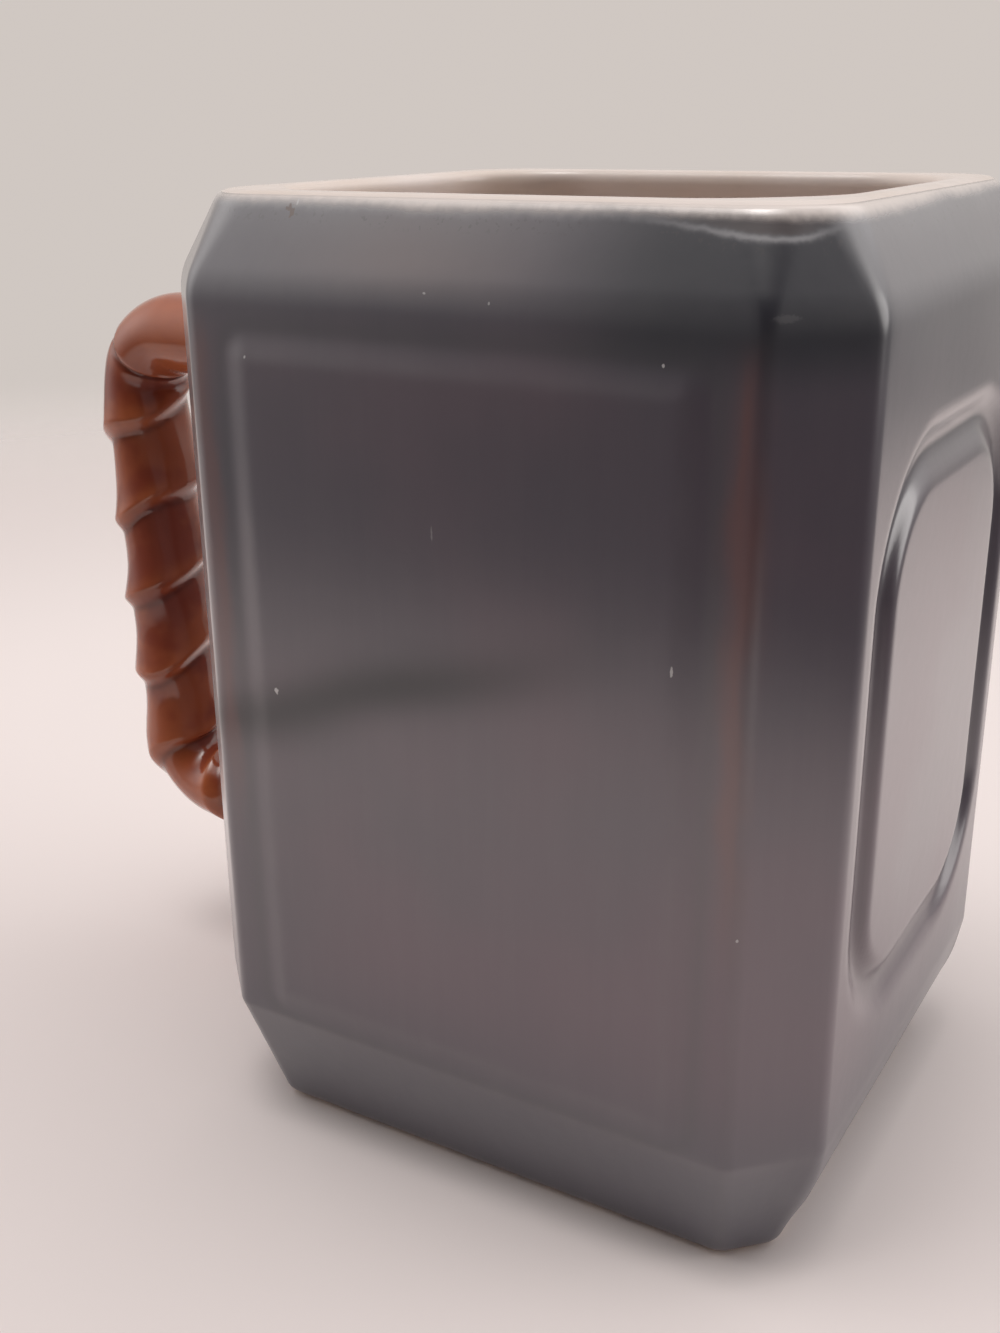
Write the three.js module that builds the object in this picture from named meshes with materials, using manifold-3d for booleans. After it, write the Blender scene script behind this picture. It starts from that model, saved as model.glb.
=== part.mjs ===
// A square novelty mug in glazed stoneware, as a slip-cast block with bevelled edges and framed faces.
// The inside carries a poured liner glaze that runs out over the rim. A loop handle with a moulded
// strap binding is cast apart and luted to one wall with two beads of slip.
// Millimetres, +Z up. The mug stands on z = 0 with its handle towards -X, and the origin is under
// the middle of the whole length, handle included.
import * as THREE from "three";
import { mergeVertices } from "three/addons/utils/BufferGeometryUtils.js";
import Module from "manifold-3d";

// Block
const bodyWidth = 82; // along X, from the handle's wall to the far wall
const bodyDepth = 76; // along Y, over both raised panels
const bodyHeight = 115;
const wall = 5; // finished wall, liner glaze included
const floorThickness = 7; // from the foot recess to the finished inside floor
const cornerBevel = 8.1; // leg of the bevel on the four upright edges
const cornerSoftness = 2; // radius where a bevel meets a face
const rimBevelHeight = 9.2;
const rimBevelInset = 4;
const rimRound = 1.5; // easing of the rim's outer edge
const rimSoftness = 10; // radius where the rim bevel meets the walls
const mouthRound = 1; // easing of the rim's inner edge
const footBevelHeight = 16.8;
const footBevelInset = 4.9;
const footRound = 2.5; // quarter round under the foot bevel
const footSoftness = 3; // radius where the foot bevel meets the walls
const footWidth = 6; // standing land of the foot ring
const footRecess = 2; // hollow under the base
const footSlope = 1; // run of the recess's sloping side

// Cavity and its liner glaze
const cavityCornerBevel = 10.5;
const cavityCornerSoftness = 7;
const cavityFloorRadius = 7;
const coat = 0.6; // liner glaze thickness
const coatGap = 0.3; // clearance between the glaze and the clay, except on the rim, where it rests

// Framed faces
const panelRaise = 0.5; // front and back panels stand this far out
const panelMargin = 4.9; // from the bevel's edge to the panel's side
const panelBottomGap = 1; // from the foot bevel up to the panel
const panelTopGap = 4.8; // from the rim bevel down to the panel
const panelCornerRadius = 3;
const panelEdge = 1.6; // run of the panel's sloping edge
const grooveSideGap = 3.5; // from either bevel to the groove round the far wall's pad
const grooveBottomGap = 8; // from the foot bevel up to the groove
const grooveTopGap = 13; // from the rim bevel down to the groove
const grooveWidth = 6;
const grooveDepth = 2;
const padCornerRadius = 11;

// Handle
const handleReach = 41.5; // from the wall to the outside of the grip, at its upper end
const upperArmDrop = 21.2; // from the rim down to the upper arm's centreline
const lowerArmHeight = 25.4;
const coreHalfThickness = 4.8; // in the plane of the loop
const coreHalfWidth = 6.2; // across the loop
const upperElbowRadius = 8.3; // on the centreline
const lowerElbowRadius = 8.1;
const gripLean = 3; // the grip's foot stands this much nearer the wall
const strapPitch = 12.4; // centreline length that each turn of the binding takes
const strapThin = 0.35; // binding's thickness at its tucked edge
const strapLip = 1.05; // what its free edge adds to that
const strapFall = 0.16; // share of a turn over which the free edge drops
const strapLead = 36; // centreline length from the upper joint to the binding's phase
const strapGrowth = 6; // length over which the first turn grows
const capHeight = 0.75; // how far the smooth cap on the arm and half of the elbow stands over the core
const capRise = 12; // length over which it rises from the upper joint
const capEnd = 33.5; // centreline length at which it gives way to the binding
const endFlare = 0.9; // swelling of the core where it meets a joint
const endFlareLength = 5;

// Luted joints
const jointThickness = 1;
const jointSpread = 0.9; // how far the slip runs out past the handle's end

// Mesh steps
const cornerSteps = 4;
const profileSteps = 3;
const ringSpacing = 1.5;
const handleSides = 24;
const panelCornerSteps = 4;
const grooveSides = 16;
const padCornerSteps = 6;

// Worked out from the above
const halfWidth = bodyWidth / 2;
const halfDepth = bodyDepth / 2 - panelRaise; // plain front and back faces
const shoulderHeight = bodyHeight - rimBevelHeight;
const upperArmHeight = bodyHeight - upperArmDrop;
const floorHeight = footRecess + floorThickness;
const cornerShrink = 2 - Math.SQRT2; // what an even inset takes off a 45 degree bevel's leg
const smallestBevel = 1.5;
const strapFull = strapThin + strapLip;
const gripOffset = handleReach - coreHalfThickness - strapFull; // wall to the grip's centreline

const wasm = await Module();
wasm.setup();

// A closed mesh as a solid that can be joined and cut. Its faces have to point outwards.
function toSolid(geometry) {
  const bare = geometry.clone();
  bare.deleteAttribute("normal");
  const merged = mergeVertices(bare, 1e-4);
  const solid = new wasm.Manifold(
    new wasm.Mesh({
      numProp: 3,
      vertProperties: merged.attributes.position.array,
      triVerts: new Uint32Array(merged.index.array),
    }),
  );
  if (solid.volume() <= 0) throw new Error("a solid's faces point inwards");
  return solid;
}

function toGeometry(solid) {
  const mesh = solid.getMesh();
  const geometry = new THREE.BufferGeometry();
  geometry.setAttribute("position", new THREE.BufferAttribute(mesh.vertProperties, 3));
  geometry.setIndex(new THREE.BufferAttribute(mesh.triVerts, 1));
  geometry.computeVertexNormals();
  return geometry;
}

// A skin over rings of equal point counts. An open stack has both its ends closed with a fan,
// and a looped one joins its last ring to its first.
function loft(rings, looped = false) {
  const count = rings[0].length;
  const positions = rings.flat().flatMap((p) => [p.x, p.y, p.z]);
  const faces = [];
  const bands = looped ? rings.length : rings.length - 1;
  for (let i = 0; i < bands; i++) {
    const low = i * count;
    const high = ((i + 1) % rings.length) * count;
    for (let j = 0; j < count; j++) {
      const k = (j + 1) % count;
      faces.push(low + j, low + k, high + k, low + j, high + k, high + j);
    }
  }
  if (!looped) {
    for (const [ring, start, turned] of [
      [rings[0], 0, true],
      [rings.at(-1), (rings.length - 1) * count, false],
    ]) {
      const middle = ring.reduce((sum, p) => sum.add(p), new THREE.Vector3()).divideScalar(count);
      const centre = positions.length / 3;
      positions.push(middle.x, middle.y, middle.z);
      for (let j = 0; j < count; j++) {
        const k = (j + 1) % count;
        faces.push(centre, start + (turned ? k : j), start + (turned ? j : k));
      }
    }
  }
  const geometry = new THREE.BufferGeometry();
  geometry.setAttribute("position", new THREE.Float32BufferAttribute(positions, 3));
  geometry.setIndex(faces);
  geometry.computeVertexNormals();
  return geometry;
}

// The points of a polygon with each corner turned into an arc. The radius is one number, or a list with
// one per corner. An open line keeps its two ends. The arc is held to half of the shorter side, so it
// can't run past its neighbour.
function roundCorners(corners, radius, steps, open = false) {
  return corners.flatMap((corner, i) => {
    if (open && (i === 0 || i === corners.length - 1)) return [corner];
    const before = corners.at(i - 1).clone().sub(corner);
    const after = corners[(i + 1) % corners.length].clone().sub(corner);
    const shorter = Math.min(before.length(), after.length());
    before.normalize();
    after.normalize();
    const half = before.angleTo(after) / 2;
    const wanted = Array.isArray(radius) ? radius[i] : radius;
    const run = Math.min(wanted / Math.tan(half), 0.45 * shorter);
    const arcRadius = run * Math.tan(half);
    const bisector = before.clone().add(after).normalize();
    const centre = corner.clone().addScaledVector(bisector, arcRadius / Math.sin(half));
    const first = corner.clone().addScaledVector(before, run).sub(centre);
    const last = corner.clone().addScaledVector(after, run).sub(centre);
    const sweep = first.angleTo(last);
    const turn = Math.sign(first.cross(last)) * sweep;
    return Array.from({ length: steps + 1 }, (_, step) =>
      first.clone().rotateAround(new THREE.Vector2(), (turn * step) / steps).add(centre),
    );
  });
}

// The block's outline at one inset from its faces, counter-clockwise from above.
function blockRing(inset, height, bevel, softness) {
  const x = halfWidth - inset;
  const y = halfDepth - inset;
  const corners = [
    [x, y - bevel],
    [x - bevel, y],
    [bevel - x, y],
    [-x, y - bevel],
    [-x, bevel - y],
    [bevel - x, -y],
    [x - bevel, -y],
    [x, bevel - y],
  ].map(([px, py]) => new THREE.Vector2(px, py));
  return roundCorners(corners, softness, cornerSteps).map((p) => new THREE.Vector3(p.x, p.y, height));
}

function outerRing([inset, height]) {
  const bevel = Math.max(cornerBevel - cornerShrink * inset, smallestBevel);
  return blockRing(inset, height, bevel, cornerSoftness);
}

function cavityRing([inset, height]) {
  const bevel = Math.max(cavityCornerBevel - cornerShrink * (inset - wall), smallestBevel);
  return blockRing(inset, height, bevel, cavityCornerSoftness);
}

// Insets and heights on a quarter circle, from the angle start to the angle end in degrees.
function arcProfile(centreInset, centreHeight, radius, start, end, steps) {
  return Array.from({ length: steps + 1 }, (_, i) => {
    const angle = THREE.MathUtils.degToRad(start + ((end - start) * i) / steps);
    return [centreInset + radius * Math.cos(angle), centreHeight + radius * Math.sin(angle)];
  });
}

// The cavity from its shoulder down to the floor, moved outward from the finished surface.
function cavityProfile(outward) {
  const corner = arcProfile(
    wall + cavityFloorRadius,
    floorHeight + cavityFloorRadius,
    cavityFloorRadius + outward,
    180,
    270,
    4,
  );
  return [[wall - outward, shoulderHeight], ...corner];
}

// The outside wall from the foot bevel's lower edge up to the rim bevel's upper edge.
function wallProfile() {
  const corners = [
    [footBevelInset, footRound],
    [0, footBevelHeight],
    [0, shoulderHeight],
    [rimBevelInset, bodyHeight - rimRound],
  ].map(([inset, height]) => new THREE.Vector2(inset, height));
  const radii = [0, footSoftness, rimSoftness, 0];
  return roundCorners(corners, radii, profileSteps, true).map((p) => [p.x, p.y]);
}

// The clay block: foot, outside, rim and the cavity that the liner glaze covers.
function makeBlock() {
  const footInset = footBevelInset + footRound;
  const clearance = coat + coatGap;
  const clayRim = bodyHeight - coat;
  const outside = [
    [footInset + footWidth + footSlope, footRecess],
    [footInset + footWidth, 0],
    ...arcProfile(footInset, footRound, footRound, 270, 180, 3).slice(0, -1),
    ...wallProfile(),
    [rimBevelInset + rimRound - coat, clayRim],
  ].map(outerRing);
  const inside = [[rimBevelInset + wall - clearance, clayRim], ...cavityProfile(clearance)].map(cavityRing);
  return toSolid(loft([...outside, ...inside]));
}

// A raised panel on the front, with a sloping edge all round, sunk a little into the block.
function makePanel() {
  const x = halfWidth - cornerBevel - panelMargin;
  const low = footBevelHeight + panelBottomGap;
  const high = shoulderHeight - panelTopGap;
  const sunk = panelRaise + wall / 4;
  const ring = (margin, out) =>
    roundCorners(
      [
        [-x + margin, low + margin],
        [x - margin, low + margin],
        [x - margin, high - margin],
        [-x + margin, high - margin],
      ].map(([px, pz]) => new THREE.Vector2(px, pz)),
      panelCornerRadius,
      panelCornerSteps,
    ).map((p) => new THREE.Vector3(p.x, -(halfDepth + out), p.y));
  return toSolid(loft([ring(0, -sunk), ring(0, 0), ring(panelEdge, panelRaise)]));
}

// The ring-shaped cutter that leaves a pad on the far wall: a round bar led round a rounded rectangle.
function makeGrooveCutter() {
  const radius = (grooveWidth ** 2 / 4 + grooveDepth ** 2) / (2 * grooveDepth);
  const axisX = halfWidth + radius - grooveDepth;
  const y = halfDepth - cornerBevel - grooveSideGap - grooveWidth / 2;
  const low = footBevelHeight + grooveBottomGap + grooveWidth / 2;
  const high = shoulderHeight - grooveTopGap - grooveWidth / 2;
  const path = roundCorners(
    [
      [-y, low],
      [y, low],
      [y, high],
      [-y, high],
    ].map(([py, pz]) => new THREE.Vector2(py, pz)),
    padCornerRadius + grooveWidth / 2,
    padCornerSteps,
  );
  const rings = path.map((point, i) => {
    const along = path[(i + 1) % path.length].clone().sub(path.at(i - 1)).normalize();
    const side = new THREE.Vector2(-along.y, along.x);
    return Array.from({ length: grooveSides }, (_, step) => {
      const angle = (2 * Math.PI * step) / grooveSides;
      const across = point.clone().addScaledVector(side, radius * Math.cos(angle));
      return new THREE.Vector3(axisX + radius * Math.sin(angle), across.x, across.y);
    });
  });
  return toSolid(loft(rings, true));
}

function makeBodyShell() {
  const front = makePanel();
  const back = front.rotate([0, 0, 180]);
  return toGeometry(makeBlock().add(front).add(back).subtract(makeGrooveCutter()));
}

// The liner glaze: a cup-shaped coat whose lip rests on the clay rim.
function makeLiner() {
  const clayRim = bodyHeight - coat;
  const behind = [...cavityProfile(coat).reverse(), [rimBevelInset + wall - coat, clayRim]].map(cavityRing);
  const lip = [
    [rimBevelInset + rimRound - coat, clayRim],
    [rimBevelInset + rimRound, bodyHeight],
  ].map(outerRing);
  const inside = [
    [rimBevelInset + wall - mouthRound, bodyHeight],
    [rimBevelInset + wall, bodyHeight - mouthRound],
    ...cavityProfile(0),
  ].map(cavityRing);
  return loft([...behind, ...lip, ...inside]);
}

// The handle's centreline in the XZ plane, from its upper end to its lower end.
function handlePath() {
  const start = -(halfWidth + jointThickness);
  const outer = -(halfWidth + gripOffset);
  const foot = outer + gripLean;
  const corners = [
    new THREE.Vector2(start, upperArmHeight),
    new THREE.Vector2(outer, upperArmHeight),
    new THREE.Vector2(foot, lowerArmHeight),
    new THREE.Vector2(start, lowerArmHeight),
  ];
  const path = new THREE.Path();
  path.moveTo(corners[0].x, corners[0].y);
  for (const [i, radius] of [
    [1, upperElbowRadius],
    [2, lowerElbowRadius],
  ]) {
    const before = corners[i - 1].clone().sub(corners[i]).normalize();
    const after = corners[i + 1].clone().sub(corners[i]).normalize();
    const half = before.angleTo(after) / 2;
    const first = corners[i].clone().addScaledVector(before, radius / Math.tan(half));
    const last = corners[i].clone().addScaledVector(after, radius / Math.tan(half));
    const bisector = before.add(after).normalize();
    const centre = corners[i].clone().addScaledVector(bisector, radius / Math.sin(half));
    path.lineTo(first.x, first.y);
    path.absarc(
      centre.x,
      centre.y,
      radius,
      first.clone().sub(centre).angle(),
      last.clone().sub(centre).angle(),
      false,
    );
  }
  path.lineTo(corners[3].x, corners[3].y);
  return path;
}

// The moulded binding's thickness: a strap wound as a helix, thin at its tucked edge and rising to a
// free edge that drops steeply onto the next turn. It takes over from the smooth cap on the elbow.
function strapThickness(distance, angle) {
  const turns = (distance - strapLead) / strapPitch - angle / (2 * Math.PI);
  const share = turns - Math.floor(turns);
  const rise = share / (1 - strapFall);
  const fall = (1 - share) / strapFall;
  const growth = THREE.MathUtils.smoothstep(distance, capEnd, capEnd + strapGrowth);
  const cap = capHeight * THREE.MathUtils.smoothstep(distance, 0, capRise);
  return (1 - growth) * cap + growth * (strapThin + strapLip * Math.min(rise * rise, fall));
}

// How much the core swells close to either of its luted ends.
function endSwell(distance, length) {
  const near = Math.min(distance, length - distance) / endFlareLength;
  return endFlare * Math.max(0, 1 - near) ** 2;
}

function makeHandle() {
  const path = handlePath();
  const length = path.getLength();
  const steps = Math.ceil(length / ringSpacing);
  const rings = Array.from({ length: steps + 1 }, (_, i) => {
    const distance = (length * i) / steps;
    const middle = path.getPointAt(i / steps);
    const along = i === 0 ? new THREE.Vector2(-1, 0) : path.getTangentAt(i / steps);
    if (i === steps) along.set(1, 0);
    const outward = new THREE.Vector2(along.y, -along.x);
    return Array.from({ length: handleSides }, (_, side) => {
      const angle = (2 * Math.PI * side) / handleSides;
      const extra = strapThickness(distance, angle) + endSwell(distance, length);
      const out = (coreHalfThickness + extra) * Math.cos(angle);
      const across = (coreHalfWidth + extra) * Math.sin(angle);
      return new THREE.Vector3(middle.x + outward.x * out, across, middle.y + outward.y * out);
    });
  });
  return loft(rings);
}

// One bead of slip between the wall and an end of the handle: an oval pad that spreads to the wall.
function makeJoint(height, endStrap) {
  const ring = (offset, spread) =>
    Array.from({ length: handleSides }, (_, side) => {
      const angle = (2 * Math.PI * side) / handleSides;
      const grow = endFlare + endStrap + spread;
      return new THREE.Vector3(
        -(halfWidth + offset),
        (coreHalfWidth + grow) * Math.sin(angle),
        height + (coreHalfThickness + grow) * Math.cos(angle),
      );
    });
  return loft([ring(0, jointSpread), ring(jointThickness, 0)]);
}

const greyGlaze = new THREE.MeshStandardMaterial({ color: 0x6b696d, roughness: 0.32, metalness: 0.35 });
const creamGlaze = new THREE.MeshStandardMaterial({ color: 0xe6dccf, roughness: 0.18, metalness: 0 });
const brownGlaze = new THREE.MeshStandardMaterial({ color: 0x8f4a30, roughness: 0.2, metalness: 0 });
const firedSlip = new THREE.MeshStandardMaterial({ color: 0x7d4434, roughness: 0.3, metalness: 0 });

function named(name, geometry, material) {
  const mesh = new THREE.Mesh(geometry, material);
  mesh.name = name;
  return mesh;
}

const mug = new THREE.Group();
mug.add(named("body_shell", makeBodyShell(), greyGlaze));
mug.add(named("liner_glaze", makeLiner(), creamGlaze));
mug.add(named("handle", makeHandle(), brownGlaze));
mug.add(named("upper_handle_joint", makeJoint(upperArmHeight, 0), firedSlip));
mug.add(named("lower_handle_joint", makeJoint(lowerArmHeight, strapFull), firedSlip));
const whole = new THREE.Box3().setFromObject(mug);
mug.position.x = -(whole.min.x + whole.max.x) / 2;

export default mug;
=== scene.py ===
"""A bevelled block mug in lustre glaze with a bound loop handle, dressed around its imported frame.

The surfaces are worked out in millimetres and put into the meshes in metres. The block's outline is
centred on BLOCK_X, the middle of the block along X, which lies off the origin by half of the handle.
"""

from types import SimpleNamespace

import bpy
import numpy as np
from bpy.props import FloatProperty, FloatVectorProperty, PointerProperty
from bpy.types import Operator, Panel, PropertyGroup
from mathutils import Matrix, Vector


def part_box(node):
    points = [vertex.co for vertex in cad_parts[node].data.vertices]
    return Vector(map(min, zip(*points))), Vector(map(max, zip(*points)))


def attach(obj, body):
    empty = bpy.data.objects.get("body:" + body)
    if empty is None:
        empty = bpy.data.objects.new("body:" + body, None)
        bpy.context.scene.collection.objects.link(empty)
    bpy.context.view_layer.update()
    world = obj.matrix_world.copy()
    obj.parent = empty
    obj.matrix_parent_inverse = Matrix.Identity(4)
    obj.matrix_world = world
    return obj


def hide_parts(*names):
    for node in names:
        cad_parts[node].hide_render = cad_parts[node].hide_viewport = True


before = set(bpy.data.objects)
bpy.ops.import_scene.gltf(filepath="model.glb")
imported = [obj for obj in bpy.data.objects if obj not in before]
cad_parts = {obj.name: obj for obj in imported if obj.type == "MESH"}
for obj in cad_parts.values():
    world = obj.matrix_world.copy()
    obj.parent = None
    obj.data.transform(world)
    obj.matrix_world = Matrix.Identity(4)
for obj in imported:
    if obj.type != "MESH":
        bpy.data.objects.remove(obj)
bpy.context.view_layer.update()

bl_info = {
    "name": "Glazed Block Mug",
    "version": (1, 0, 0),
    "blender": (4, 5, 0),
    "location": "View3D > Sidebar > Block Mug",
    "description": "Builds a glazed block mug with a bound handle around its packed frame",
    "category": "Add Mesh",
}

MM = 0.001
EIGHTH_TURN = np.pi / 4
CORNER_SHRINK = 2 - np.sqrt(2)  # what an even inset takes off a 45 degree bevel's leg
SMALLEST_LEG = 1.5
LARGEST_ARC = 0.45  # share of a bevel's width that an arc at one of its ends may take
CORNER_STEPS = 7
CORNER_CLEAR = 1.3  # from a bevel's line to the nearest evenly spaced column
RELIEF_RUN = 4.4  # how far in from a panel's edge the mesh stays fine
PAD_RUN = 18  # the same in from the groove's outer edge, over the groove and the pad's corner
FACE_SPACING = (0.8, 0.5, 1.25)
WALL_SPACING = (1.0, 0.68, 1.4)
PLAIN_SPACING = (1.6,)
BEVEL_SHARES = (0.09,)
WALL_ROWS = (0.5, 0.9, 0.75, 0.5)
WALL_START, WALL_STOP = 1.2, 3.4  # past the foot bevel and short of the rim bevel, where the rows are even
PAD_TOP = 20  # how far under the panel's upper edge the groove's upper bend starts
RECESS_RADII = (0.5, 0.4)
ON_WALL = 0.9  # share of the half width past which a point lies on that wall
BULGE_SIDES = (0.86, 0.97)  # shares of the half width over which the end walls' foot bulge comes in
BULGE_MARGIN = 1.5
SMALLEST_RING = 0.06  # the innermost closing ring, as a share of the ring that it closes
BLOCK_WAVES = {"wavelengths": (31, 43, 58, 77, 24), "seed": 5}
BINDING_WAVES = {"wavelengths": (6.5, 8, 10, 13, 17), "seed": 11}
LIP_HIDE = 1.1  # how far the clay's mouth edge hides behind the liner's
FLOOR_RUN = 4  # even floor that a cup's profile adds past its floor radius
OUTSIDE_SPACING = 0.5
INSIDE_SPACING = 0.9
HIDDEN_SPACING = 1.6
HANDLE_SPACING = 0.42
AROUND_HANDLE = np.linspace(0, 2 * np.pi, 112, endpoint=False)[None, :]


def node_box(node):
    """A node's lowest and highest corners in millimetres."""
    low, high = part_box(node)
    return np.array(low) / MM, np.array(high) / MM


BLOCK_LOW, BLOCK_HIGH = node_box("body_shell")
RIM_Z = node_box("liner_glaze")[1][2]
BLOCK_X = (BLOCK_LOW[0] + BLOCK_HIGH[0]) / 2
HALF_X = (BLOCK_HIGH[0] - BLOCK_LOW[0]) / 2
HALF_Y_PROUD = (BLOCK_HIGH[1] - BLOCK_LOW[1]) / 2  # out to the raised panels


def length(name, description, millimetres):
    """A length property, given in millimetres."""
    return FloatProperty(name=name, description=description, default=millimetres * MM, unit="LENGTH",
                         precision=5)


def colour(name, description, rgb):
    """A colour property, as linear red, green and blue."""
    return FloatVectorProperty(name=name, description=description, default=rgb, size=3, subtype="COLOR", min=0, max=1)


def share(name, description, value):
    """A property that runs from 0 to 1."""
    return FloatProperty(name=name, description=description, default=value, min=0, max=1, subtype="FACTOR")


def strength(name, description, value):
    """A light's strength, from 0 up."""
    return FloatProperty(name=name, description=description, default=value, min=0)


def in_mm(group):
    """The group's lengths as plain numbers in millimetres."""
    return SimpleNamespace(**{name: getattr(group, name) / MM for name in group.__annotations__})


class BlockSizes(PropertyGroup):
    """Sizes of the clay block's outside."""

    corner_bevel: length("Corner bevel", "Leg of the bevel on the upright edges", 8.1)
    corner_softness: length("Corner softness", "Radius where a bevel meets a face", 2.7)
    rim_corner_softness: length("Rim corner softness", "The same radius up at the rim", 7.5)
    shoulder_softness: length("Shoulder softness", "Radius where the rim bevel meets the walls", 8)
    ankle_softness: length("Ankle softness", "Radius where the foot bevel meets the walls", 2.4)
    rim_bevel_height: length("Rim bevel height", "Height of the sloping band under the rim", 9.2)
    rim_bevel_inset: length("Rim bevel inset", "How far the rim's flat land starts inside the wall", 4.8)
    rim_softness: length("Rim softness", "Radius of the rim's outer edge", 2.2)
    foot_bevel_height: length("Foot bevel height", "Height of the sloping band above the foot", 16.8)
    foot_bevel_inset: length("Foot bevel inset", "How far the foot stands inside the wall", 5.76)
    foot_softness: length("Foot softness", "Radius of the foot's outer edge", 2.5)
    foot_land_end: length("Foot land end", "Inset at which the standing land ends", 13.4)
    foot_recess: length("Foot recess", "Hollow under the base", 2)
    foot_slope: length("Foot slope", "Run of the recess's sloping side", 1)
    panel_raise: length("Panel raise", "How far the panels move, at 45 degrees off the wall's normal", 0.5)
    panel_margin: length("Panel margin", "From the upright bevel to the panel's side", 4.9)
    panel_bottom_gap: length("Panel bottom gap", "From the foot bevel up to the panel", 1)
    panel_top_gap: length("Panel top gap", "From the rim bevel down to the panel", 4.8)
    panel_corner_radius: length("Panel corner radius", "Radius of the panel's corners", 3)
    panel_edge: length("Panel edge", "Run of the panel's soft edge", 3.4)
    groove_side_gap: length("Groove side gap", "From the upright bevel to the far wall's groove", 3.5)
    groove_bottom_gap: length("Groove bottom gap", "From the foot bevel up to the groove", 8)
    groove_top_gap: length("Groove top gap", "From the rim bevel down to the groove", 13)
    groove_width: length("Groove width", "Width of the groove round the pad", 6)
    groove_depth: length("Groove depth", "How far the groove's floor moves, at the same slant", 2)
    pad_corner_radius: length("Pad corner radius", "Radius of the pad's corners", 11)
    foot_bulge: length("Foot bulge", "How far the end walls' foot bevel moves, at the same slant", 1.3)
    waviness: length("Waviness", "How far the cast wall's slow hollows move, at the same slant", 0.16)


class CupSizes(PropertyGroup):
    """Sizes of the cavity and of the liner glaze."""

    wall: length("Wall", "Finished wall thickness, glaze included", 5)
    floor_thickness: length("Floor thickness", "From the foot recess to the inside floor", 7)
    corner_bevel: length("Cavity corner bevel", "Leg of the bevel in the cavity's corners", 10.5)
    corner_softness: length("Cavity corner softness", "Radius where that bevel meets a wall", 7)
    mouth_corner_softness: length("Mouth corner softness", "The same radius up at the mouth", 12)
    floor_radius: length("Floor radius", "Radius between the walls and the floor", 7)
    shoulder_softness: length("Shoulder softness", "Radius inside, level with the rim bevel's lower edge", 6)
    mouth_inset: length("Mouth inset", "Where the rim's land would meet the inside slope", 9.5)
    mouth_round: length("Mouth round", "Radius of the rim's inner edge", 1.2)
    coat: length("Coat", "Thickness of the liner glaze", 0.6)
    coat_gap: length("Coat gap", "Clearance between the glaze and the clay", 0.3)


class HandleSizes(PropertyGroup):
    """Sizes of the loop handle, its moulded binding and its two luted joints."""

    upper_arm_drop: length("Upper arm drop", "From the rim down to the upper arm's centreline", 21.2)
    lower_arm_height: length("Lower arm height", "Height of the lower arm's centreline", 25.4)
    core_half_thickness: length("Core half thickness", "Half of the core in the plane of the loop", 4.8)
    core_half_width: length("Core half width", "Half of the core across the loop", 6.2)
    reach: length("Reach", "From the wall to the outside of the grip, at its upper end", 41.5)
    upper_elbow_radius: length("Upper elbow radius", "Centreline radius of the upper elbow", 8.3)
    lower_elbow_radius: length("Lower elbow radius", "Centreline radius of the lower elbow", 8.1)
    grip_lean: length("Grip lean", "How much nearer the wall the grip's foot stands", 3)
    strap_pitch: length("Strap pitch", "Centreline length that each turn takes", 12.4)
    strap_thin: length("Strap thin edge", "The binding's thickness at its tucked edge", 0.35)
    strap_lip: length("Strap lip", "What the free edge adds to that", 1.05)
    strap_lead: length("Strap lead", "Centreline length from the upper joint to the binding's phase", 36)
    strap_growth: length("Strap growth", "Length over which the first turn grows", 6)
    cap_end: length("Cap end", "Centreline length at which the smooth cap on the elbow ends", 32)
    cap_height: length("Cap height", "How far the smooth cap stands over the core", 0.75)
    strap_dents: length("Strap dents", "Depth of the uneven dents in the binding", 0.3)
    end_flare: length("End flare", "Swelling of the core at a joint", 0.9)
    end_flare_length: length("End flare length", "Length of that swelling", 5)
    joint_thickness: length("Joint thickness", "Slip between the wall and the handle's end", 1)
    joint_spread: length("Joint spread", "How far the slip runs out on the wall", 0.7)
    joint_lap: length("Joint lap", "How far the slip laps over the handle", 1.2)


class GlazeLook(PropertyGroup):
    """Colours of the glazes and the bare clay."""

    steel: colour("Steel", "Cooler clouds of the outside glaze", (0.046, 0.050, 0.070))
    plum: colour("Plum", "Warmer clouds of the outside glaze", (0.112, 0.068, 0.092))
    break_grey: colour("Edge break", "Outside glaze where it thins over an edge", (0.24, 0.225, 0.225))
    rust: colour("Rust", "Faint iron red at the panel's upright edges", (0.15, 0.060, 0.057))
    cream: colour("Cream", "Liner glaze", (0.86, 0.765, 0.72))
    veil: colour("Veil", "Liner glaze lying thinly over the outside glaze", (0.26, 0.262, 0.285))
    halo: colour("Halo", "Rolled edge of the thin liner glaze", (0.51, 0.50, 0.52))
    clay: colour("Clay", "Bare fired clay of the foot ring", (0.60, 0.50, 0.40))
    amber: colour("Amber", "Handle glaze, thin over a ridge", (0.50, 0.140, 0.054))
    russet: colour("Russet", "Handle glaze at its usual thickness", (0.28, 0.060, 0.032))
    oxblood: colour("Oxblood", "Handle glaze pooled in a crease", (0.085, 0.016, 0.010))
    outside_roughness: share("Outside roughness", "Roughness of the lustre glaze", 0.31)
    outside_gloss: share("Outside gloss", "Weight of the clear coat over the lustre glaze", 1.0)


class StageLook(PropertyGroup):
    """Colours and levels of the floor and the surroundings."""

    floor: colour("Floor", "Paper that the mug stands on", (0.83, 0.757, 0.742))
    surround: colour("Surround", "What the camera sees beyond the floor", (0.63, 0.575, 0.54))
    room_light: strength("Room light", "Level of the surroundings at eye height", 0.16)
    room_rise: strength("Room rise", "What that level gains straight above", 0.34)
    front_light: strength("Front light", "Level of the window high in front", 10.4)
    left_light: strength("Left light", "Level of the low window at the left", 1.2)
    door_light: strength("Door light", "Level of the crisp opening low at the right", 2.0)
    back_light: strength("Back light", "Level of the window behind, at the right", 1.1)


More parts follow.
